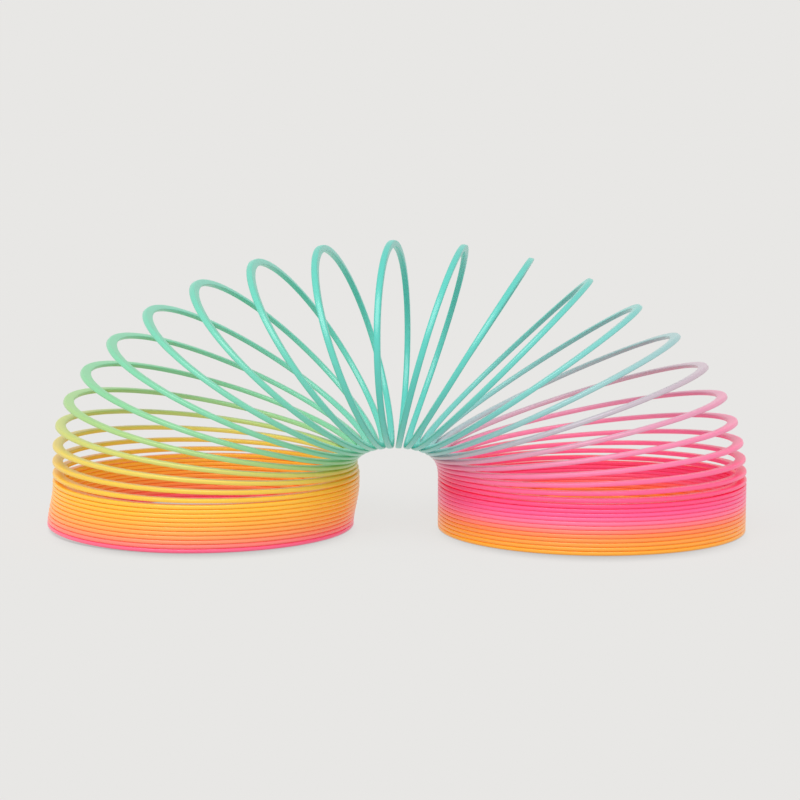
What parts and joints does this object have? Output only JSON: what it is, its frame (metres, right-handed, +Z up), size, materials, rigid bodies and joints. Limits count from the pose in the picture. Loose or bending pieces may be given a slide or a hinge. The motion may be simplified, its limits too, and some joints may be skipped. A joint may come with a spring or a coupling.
{
  "type": "spring coil toy",
  "caption": "Flexible plastic coil bent over into an arch that stands on the closed stacks of turns at its ends, with the loops between them fanned out.",
  "frame": {"origin": "on the ground midway between the two stacks, under the top of the arch", "axes": "+X from the left stack to the right one, +Y towards the back, +Z up"},
  "size_m": [0.1706, 0.075, 0.0699],
  "materials": {
    "pink": "satin, slightly translucent",
    "orange": "satin, slightly translucent",
    "amber": "satin, slightly translucent",
    "yellow": "satin, slightly translucent",
    "green": "satin, slightly translucent",
    "teal": "satin, slightly translucent",
    "lavender": "satin, slightly translucent"
  },
  "bodies": {
    "left_base": {"left_foot": "pink", "turn_01": "pink"},
    "turn_02": {"turn_02": "pink"},
    "turn_03": {"turn_03": "pink"},
    "turn_04": {"turn_04": "orange"},
    "turn_05": {"turn_05": "orange"},
    "turn_06": {"turn_06": "orange"},
    "turn_07": {"turn_07": "orange"},
    "turn_08": {"turn_08": "amber"},
    "turn_09": {"turn_09": "amber"},
    "turn_10": {"turn_10": "amber"},
    "turn_11": {"turn_11": "amber"},
    "turn_12": {"turn_12": "yellow"},
    "turn_13": {"turn_13": "yellow"},
    "turn_14": {"turn_14": "yellow"},
    "turn_15": {"turn_15": "yellow"},
    "turn_16": {"turn_16": "green"},
    "turn_17": {"turn_17": "green"},
    "turn_18": {"turn_18": "green"},
    "turn_19": {"turn_19": "teal"},
    "turn_20": {"turn_20": "teal"},
    "turn_21": {"turn_21": "teal"},
    "turn_22": {"turn_22": "teal"},
    "turn_23": {"turn_23": "teal"},
    "turn_24": {"turn_24": "teal"},
    "turn_25": {"turn_25": "teal"},
    "turn_26": {"turn_26": "teal"},
    "turn_27": {"turn_27": "teal"},
    "turn_28": {"turn_28": "lavender"},
    "turn_29": {"turn_29": "lavender"},
    "turn_30": {"turn_30": "pink"},
    "turn_31": {"turn_31": "pink"},
    "turn_32": {"turn_32": "pink"},
    "turn_33": {"turn_33": "pink"},
    "turn_34": {"turn_34": "pink"},
    "turn_35": {"turn_35": "pink"},
    "turn_36": {"turn_36": "pink"},
    "turn_37": {"turn_37": "pink"},
    "turn_38": {"turn_38": "pink"},
    "turn_39": {"turn_39": "pink"},
    "turn_40": {"turn_40": "pink"},
    "turn_41": {"turn_41": "orange"},
    "turn_42": {"turn_42": "orange"},
    "turn_43": {"turn_43": "orange"},
    "turn_44": {"turn_44": "amber"},
    "turn_45": {"turn_45": "amber"},
    "right_base": {"turn_46": "amber", "right_foot": "amber"}
  },
  "joints": [
    {"name": "stack_stretch", "type": "slide", "parent": "left_base", "child": "turn_02", "axis": [0, 0, 1], "range_m": [0, 0.0025]},
    {"name": "left_lift_02", "type": "slide", "parent": "turn_02", "child": "turn_03", "axis": [0, 0, 1], "range_m": [0, 0.00252]},
    {"name": "left_lift_03", "type": "slide", "parent": "turn_03", "child": "turn_04", "axis": [0, 0, 1], "range_m": [0, 0.00252]},
    {"name": "left_lift_04", "type": "slide", "parent": "turn_04", "child": "turn_05", "axis": [0, 0, 1], "range_m": [0, 0.00252]},
    {"name": "left_lift_05", "type": "slide", "parent": "turn_05", "child": "turn_06", "axis": [0, 0, 1], "range_m": [0, 0.00252]},
    {"name": "left_lift_06", "type": "slide", "parent": "turn_06", "child": "turn_07", "axis": [0, 0, 1], "range_m": [0, 0.00252]},
    {"name": "left_lift_07", "type": "slide", "parent": "turn_07", "child": "turn_08", "axis": [0, 0, 1], "range_m": [0, 0.00252]},
    {"name": "left_lift_08", "type": "slide", "parent": "turn_08", "child": "turn_09", "axis": [0, 0, 1], "range_m": [0, 0.00252]},
    {"name": "left_lift_09", "type": "slide", "parent": "turn_09", "child": "turn_10", "axis": [0, 0, 1], "range_m": [0, 0.00252]},
    {"name": "left_lift_10", "type": "slide", "parent": "turn_10", "child": "turn_11", "axis": [0, 0, 1], "range_m": [0, 0.00252]},
    {"name": "left_lift_11", "type": "slide", "parent": "turn_11", "child": "turn_12", "axis": [0, 0, 1], "range_m": [0, 0.00252]},
    {"name": "left_lift_12", "type": "slide", "parent": "turn_12", "child": "turn_13", "axis": [0, 0, 1], "range_m": [0, 0.00252]},
    {"name": "fold_13", "type": "hinge", "parent": "turn_13", "child": "turn_14", "pos_m": [-0.01032, 0, 0.01409], "axis": [0, -1, 0], "range_deg": [0, 1.2]},
    {"name": "fold_14", "type": "hinge", "parent": "turn_14", "child": "turn_15", "pos_m": [-0.01057, 0, 0.0152], "axis": [0, -1, 0], "range_deg": [0, 1.64]},
    {"name": "fold_15", "type": "hinge", "parent": "turn_15", "child": "turn_16", "pos_m": [-0.01059, 0, 0.01619], "axis": [0, -1, 0], "range_deg": [0, 2.2]},
    {"name": "fold_16", "type": "hinge", "parent": "turn_16", "child": "turn_17", "pos_m": [-0.01013, 0, 0.01714], "axis": [0, -1, 0], "range_deg": [0, 2.9]},
    {"name": "fold_17", "type": "hinge", "parent": "turn_17", "child": "turn_18", "pos_m": [-0.00924, 0, 0.01802], "axis": [0, -1, 0], "range_deg": [0, 3.49]},
    {"name": "fold_18", "type": "hinge", "parent": "turn_18", "child": "turn_19", "pos_m": [-0.00809, 0, 0.0188], "axis": [0, -1, 0], "range_deg": [0, 4.24]},
    {"name": "fold_19", "type": "hinge", "parent": "turn_19", "child": "turn_20", "pos_m": [-0.00667, 0, 0.01945], "axis": [0, -1, 0], "range_deg": [0, 5.25]},
    {"name": "fold_20", "type": "hinge", "parent": "turn_20", "child": "turn_21", "pos_m": [-0.00501, 0, 0.01995], "axis": [0, -1, 0], "range_deg": [0, 6.54]},
    {"name": "fold_21", "type": "hinge", "parent": "turn_21", "child": "turn_22", "pos_m": [-0.00314, 0, 0.0203], "axis": [0, -1, 0], "range_deg": [0, 7.95]},
    {"name": "fold_22", "type": "hinge", "parent": "turn_22", "child": "turn_23", "pos_m": [-0.00115, 0, 0.02049], "axis": [0, -1, 0], "range_deg": [0, 8.98]},
    {"name": "arch_fold", "type": "hinge", "parent": "turn_23", "child": "turn_24", "pos_m": [0.0009, 0, 0.02052], "axis": [0, -1, 0], "range_deg": [0, 9.02]},
    {"name": "fold_24", "type": "hinge", "parent": "turn_24", "child": "turn_25", "pos_m": [0.00291, 0, 0.02039], "axis": [0, -1, 0], "range_deg": [0, 8.08]},
    {"name": "fold_25", "type": "hinge", "parent": "turn_25", "child": "turn_26", "pos_m": [0.00479, 0, 0.0201], "axis": [0, -1, 0], "range_deg": [0, 6.68]},
    {"name": "fold_26", "type": "hinge", "parent": "turn_26", "child": "turn_27", "pos_m": [0.00648, 0, 0.01965], "axis": [0, -1, 0], "range_deg": [0, 5.37]},
    {"name": "fold_27", "type": "hinge", "parent": "turn_27", "child": "turn_28", "pos_m": [0.00793, 0, 0.01905], "axis": [0, -1, 0], "range_deg": [0, 4.33]},
    {"name": "fold_28", "type": "hinge", "parent": "turn_28", "child": "turn_29", "pos_m": [0.00912, 0, 0.01833], "axis": [0, -1, 0], "range_deg": [0, 3.56]},
    {"name": "fold_29", "type": "hinge", "parent": "turn_29", "child": "turn_30", "pos_m": [0.01003, 0, 0.0175], "axis": [0, -1, 0], "range_deg": [0, 2.97]},
    {"name": "fold_30", "type": "hinge", "parent": "turn_30", "child": "turn_31", "pos_m": [0.01069, 0, 0.01659], "axis": [0, -1, 0], "range_deg": [0, 2.26]},
    {"name": "fold_31", "type": "hinge", "parent": "turn_31", "child": "turn_32", "pos_m": [0.01113, 0, 0.01565], "axis": [0, -1, 0], "range_deg": [0, 1.69]},
    {"name": "fold_32", "type": "hinge", "parent": "turn_32", "child": "turn_33", "pos_m": [0.01139, 0, 0.01468], "axis": [0, -1, 0], "range_deg": [0, 1.24]},
    {"name": "fold_33", "type": "hinge", "parent": "turn_33", "child": "turn_34", "pos_m": [0.01153, 0, 0.0137], "axis": [0, -1, 0], "range_deg": [0, 0.8321]},
    {"name": "right_lift_34", "type": "slide", "parent": "turn_34", "child": "turn_35", "axis": [0, 0, -1], "range_m": [0, 0.00252]},
    {"name": "right_lift_35", "type": "slide", "parent": "turn_35", "child": "turn_36", "axis": [0, 0, -1], "range_m": [0, 0.00252]},
    {"name": "right_lift_36", "type": "slide", "parent": "turn_36", "child": "turn_37", "axis": [0, 0, -1], "range_m": [0, 0.00252]},
    {"name": "right_lift_37", "type": "slide", "parent": "turn_37", "child": "turn_38", "axis": [0, 0, -1], "range_m": [0, 0.00252]},
    {"name": "right_lift_38", "type": "slide", "parent": "turn_38", "child": "turn_39", "axis": [0, 0, -1], "range_m": [0, 0.00252]},
    {"name": "right_lift_39", "type": "slide", "parent": "turn_39", "child": "turn_40", "axis": [0, 0, -1], "range_m": [0, 0.00252]},
    {"name": "right_lift_40", "type": "slide", "parent": "turn_40", "child": "turn_41", "axis": [0, 0, -1], "range_m": [0, 0.00252]},
    {"name": "right_lift_41", "type": "slide", "parent": "turn_41", "child": "turn_42", "axis": [0, 0, -1], "range_m": [0, 0.00252]},
    {"name": "right_lift_42", "type": "slide", "parent": "turn_42", "child": "turn_43", "axis": [0, 0, -1], "range_m": [0, 0.00252]},
    {"name": "right_lift_43", "type": "slide", "parent": "turn_43", "child": "turn_44", "axis": [0, 0, -1], "range_m": [0, 0.00252]},
    {"name": "right_lift_44", "type": "slide", "parent": "turn_44", "child": "turn_45", "axis": [0, 0, -1], "range_m": [0, 0.00252]},
    {"name": "right_lift_45", "type": "slide", "parent": "turn_45", "child": "right_base", "axis": [0, 0, -1], "range_m": [0, 0.00252]}
  ],
  "couplings": [
    {"joint": "left_lift_02", "follows": "stack_stretch", "ratio": 1},
    {"joint": "left_lift_03", "follows": "stack_stretch", "ratio": 1},
    {"joint": "left_lift_04", "follows": "stack_stretch", "ratio": 1},
    {"joint": "left_lift_05", "follows": "stack_stretch", "ratio": 1},
    {"joint": "left_lift_06", "follows": "stack_stretch", "ratio": 1},
    {"joint": "left_lift_07", "follows": "stack_stretch", "ratio": 1},
    {"joint": "left_lift_08", "follows": "stack_stretch", "ratio": 1},
    {"joint": "left_lift_09", "follows": "stack_stretch", "ratio": 1},
    {"joint": "left_lift_10", "follows": "stack_stretch", "ratio": 1},
    {"joint": "left_lift_11", "follows": "stack_stretch", "ratio": 1},
    {"joint": "left_lift_12", "follows": "stack_stretch", "ratio": 1},
    {"joint": "fold_13", "follows": "arch_fold", "ratio": 0.13035},
    {"joint": "fold_14", "follows": "arch_fold", "ratio": 0.18},
    {"joint": "fold_15", "follows": "arch_fold", "ratio": 0.2414},
    {"joint": "fold_16", "follows": "arch_fold", "ratio": 0.31987},
    {"joint": "fold_17", "follows": "arch_fold", "ratio": 0.38531},
    {"joint": "fold_18", "follows": "arch_fold", "ratio": 0.4678},
    {"joint": "fold_19", "follows": "arch_fold", "ratio": 0.57996},
    {"joint": "fold_20", "follows": "arch_fold", "ratio": 0.72309},
    {"joint": "fold_21", "follows": "arch_fold", "ratio": 0.87918},
    {"joint": "fold_22", "follows": "arch_fold", "ratio": 0.99371},
    {"joint": "fold_24", "follows": "arch_fold", "ratio": 0.89372},
    {"joint": "fold_25", "follows": "arch_fold", "ratio": 0.7387},
    {"joint": "fold_26", "follows": "arch_fold", "ratio": 0.59296},
    {"joint": "fold_27", "follows": "arch_fold", "ratio": 0.47759},
    {"joint": "fold_28", "follows": "arch_fold", "ratio": 0.39239},
    {"joint": "fold_29", "follows": "arch_fold", "ratio": 0.32713},
    {"joint": "fold_30", "follows": "arch_fold", "ratio": 0.24859},
    {"joint": "fold_31", "follows": "arch_fold", "ratio": 0.18546},
    {"joint": "fold_32", "follows": "arch_fold", "ratio": 0.13501},
    {"joint": "fold_33", "follows": "arch_fold", "ratio": 0.090075},
    {"joint": "right_lift_34", "follows": "stack_stretch", "ratio": 1},
    {"joint": "right_lift_35", "follows": "stack_stretch", "ratio": 1},
    {"joint": "right_lift_36", "follows": "stack_stretch", "ratio": 1},
    {"joint": "right_lift_37", "follows": "stack_stretch", "ratio": 1},
    {"joint": "right_lift_38", "follows": "stack_stretch", "ratio": 1},
    {"joint": "right_lift_39", "follows": "stack_stretch", "ratio": 1},
    {"joint": "right_lift_40", "follows": "stack_stretch", "ratio": 1},
    {"joint": "right_lift_41", "follows": "stack_stretch", "ratio": 1},
    {"joint": "right_lift_42", "follows": "stack_stretch", "ratio": 1},
    {"joint": "right_lift_43", "follows": "stack_stretch", "ratio": 1},
    {"joint": "right_lift_44", "follows": "stack_stretch", "ratio": 1},
    {"joint": "right_lift_45", "follows": "stack_stretch", "ratio": 1}
  ]
}
